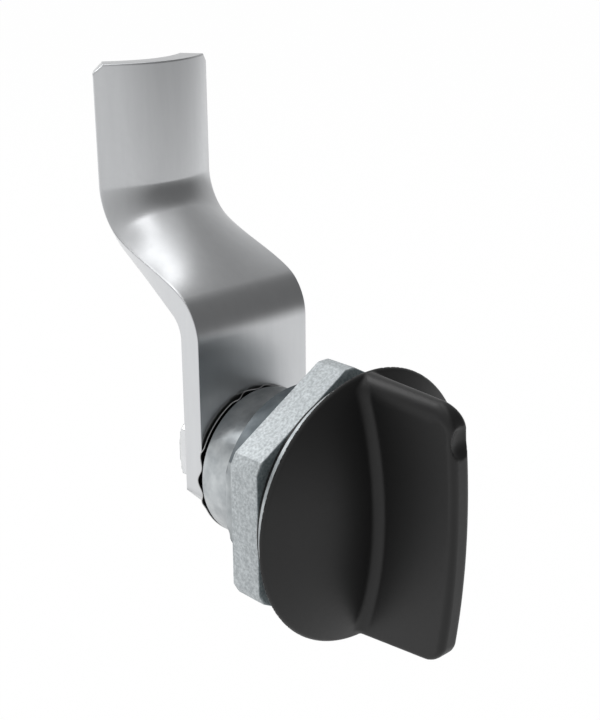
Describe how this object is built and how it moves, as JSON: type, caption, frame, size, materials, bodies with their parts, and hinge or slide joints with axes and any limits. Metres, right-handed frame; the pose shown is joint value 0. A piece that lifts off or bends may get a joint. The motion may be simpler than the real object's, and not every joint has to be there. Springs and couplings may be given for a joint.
{
  "type": "quarter-turn cam latch",
  "caption": "Quarter-turn cam latch with a black wing knob, a round-flanged threaded housing clamped by a hexagon nut, and a cranked, bowed steel cam.",
  "frame": {"origin": "on the latch axis in the flange's back face, where the panel lies", "axes": "+Y along the latch axis into the cabinet, knob towards -Y, +Z from the axis to the cam's tip, +X to the right seen from the knob"},
  "size_m": [0.0312, 0.0509, 0.0606],
  "materials": {
    "zinc_cast": "smooth nickel-plated zinc die-casting",
    "zinc_nut": "matt speckled zinc casting",
    "satin_steel": "satin zinc-plated steel strip",
    "plated_steel": "bright zinc-plated steel",
    "black_oxide_steel": "black phosphated steel",
    "black_plastic": "fine matt black glass-filled nylon",
    "bush_plastic": "natural acetal",
    "black_rubber": "smooth nitrile rubber"
  },
  "bodies": {
    "housing_body": {"housing": "zinc_cast", "flange_gasket": "black_rubber", "mounting_nut": "zinc_nut", "front_bush": "bush_plastic", "rear_bush": "bush_plastic"},
    "latch_body": {"wing_knob": "black_plastic", "spindle": "plated_steel", "spindle_o_ring": "black_rubber", "thrust_washer": "plated_steel", "snap_ring": "plated_steel", "stop_disc": "black_oxide_steel", "wave_washer": "plated_steel", "cam": "satin_steel", "spring_washer": "plated_steel", "cam_screw": "plated_steel"}
  },
  "joints": [
    {"name": "latch_turn", "type": "hinge", "parent": "housing_body", "child": "latch_body", "pos_m": [0, 0, 0], "axis": [0, 1, 0], "range_deg": [0, 90]}
  ]
}
